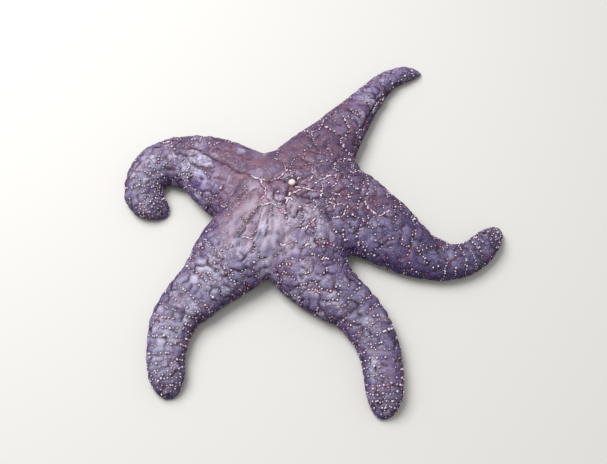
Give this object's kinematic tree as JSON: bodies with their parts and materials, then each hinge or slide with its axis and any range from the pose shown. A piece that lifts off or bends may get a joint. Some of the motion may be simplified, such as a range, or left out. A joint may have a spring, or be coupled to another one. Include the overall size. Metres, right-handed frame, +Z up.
{
  "type": "ochre sea star",
  "caption": "Life-size sea star at rest: domed disc with sieve plate and tapering blunt arms, some curled, furrowed underneath.",
  "frame": {"origin": "centre of the footprint's rectangle, on the floor that the star rests on", "axes": "+Z up, from the mouth side to the upper side; arm 1 points to +X+Y, and the arms are numbered clockwise from above"},
  "size_m": [0.2528, 0.2646, 0.0306],
  "materials": {
    "disc_skin": "moist leathery skin, greyish violet with maroon creases and small pinkish white spines",
    "arm_skin": "moist leathery skin, greyish violet with dark purple creases and small pinkish white spines",
    "sieve_plate": "matt cream chalky plate with fine winding grooves"
  },
  "bodies": {
    "root": {"disc": "disc_skin", "madreporite": "sieve_plate", "arm_1_inner": "arm_skin", "arm_1_middle": "arm_skin", "arm_1_tip": "arm_skin", "arm_2_inner": "arm_skin", "arm_2_middle": "arm_skin", "arm_2_tip": "arm_skin", "arm_3_inner": "arm_skin", "arm_3_middle": "arm_skin", "arm_3_tip": "arm_skin", "arm_4_inner": "arm_skin", "arm_4_middle": "arm_skin", "arm_4_tip": "arm_skin", "arm_5_inner": "arm_skin", "arm_5_middle": "arm_skin", "arm_5_tip": "arm_skin"}
  },
  "joints": []
}
